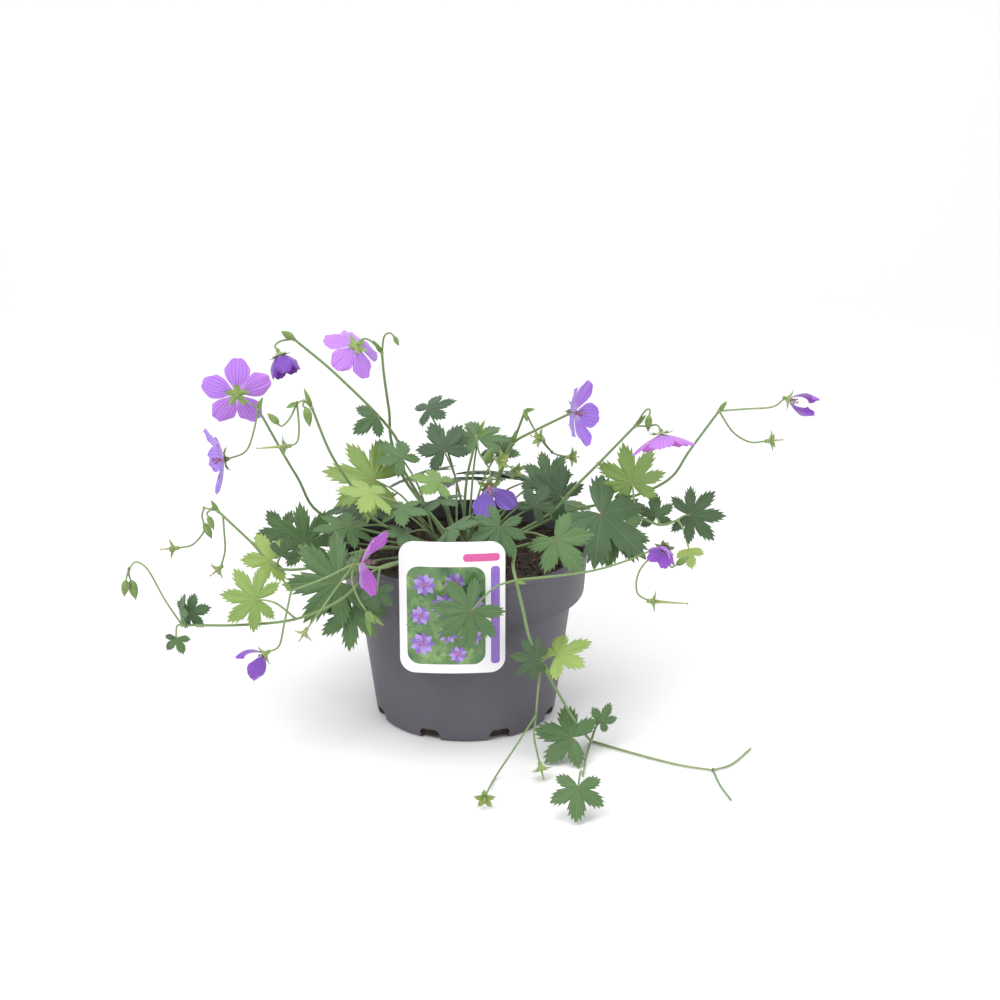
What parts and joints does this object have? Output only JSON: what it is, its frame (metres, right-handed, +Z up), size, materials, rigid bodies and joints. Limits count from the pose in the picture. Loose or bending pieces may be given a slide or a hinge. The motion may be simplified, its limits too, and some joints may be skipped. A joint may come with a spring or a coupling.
{
  "type": "potted hardy geranium",
  "caption": "Sprawling hardy geranium with lobed leaves and violet blooms in a round grey nursery pot, with a plant label hooked over the rim",
  "frame": {"origin": "centre of the pot's flat underside", "axes": "+Z up, the plant's front looks along -Y, its long trailing width lies along X"},
  "size_m": [0.5172, 0.3262, 0.2964],
  "materials": {
    "pot": "matt grey moulded plastic",
    "soil": "damp peat with light fibres",
    "label": "printed coated card",
    "foliage": "soft hairy green leaves and stems",
    "petals": "satin violet petals"
  },
  "bodies": {
    "root": {"bloom_front": "petals", "bloom_goblet": "petals", "bloom_left": "petals", "bloom_middle_right": "petals", "bloom_right": "petals", "bloom_right_low": "petals", "bloom_rim": "petals", "bloom_top": "petals", "bloom_upper_left": "petals", "bloom_wilting_left": "petals", "bloom_wilting_right": "petals", "label": "label", "leaves_back": "foliage", "leaves_back_left": "foliage", "leaves_behind_left": "foliage", "leaves_behind_right": "foliage", "leaves_front": "foliage", "leaves_front_left": "foliage", "leaves_left": "foliage", "leaves_left_inner": "foliage", "leaves_middle": "foliage", "leaves_right": "foliage", "leaves_right_inner": "foliage", "pot": "pot", "soil": "soil", "stem_centre": "foliage", "stem_far_left": "foliage", "stem_far_right": "foliage", "stem_forked": "foliage", "stem_left": "foliage", "stem_lower_left": "foliage", "stem_middle": "foliage", "stem_nodding": "foliage", "stem_right": "foliage", "stem_right_leafy": "foliage", "stem_top": "foliage", "stem_top_left": "foliage", "stem_trailing": "foliage", "stem_upper_left": "foliage"}
  },
  "joints": []
}
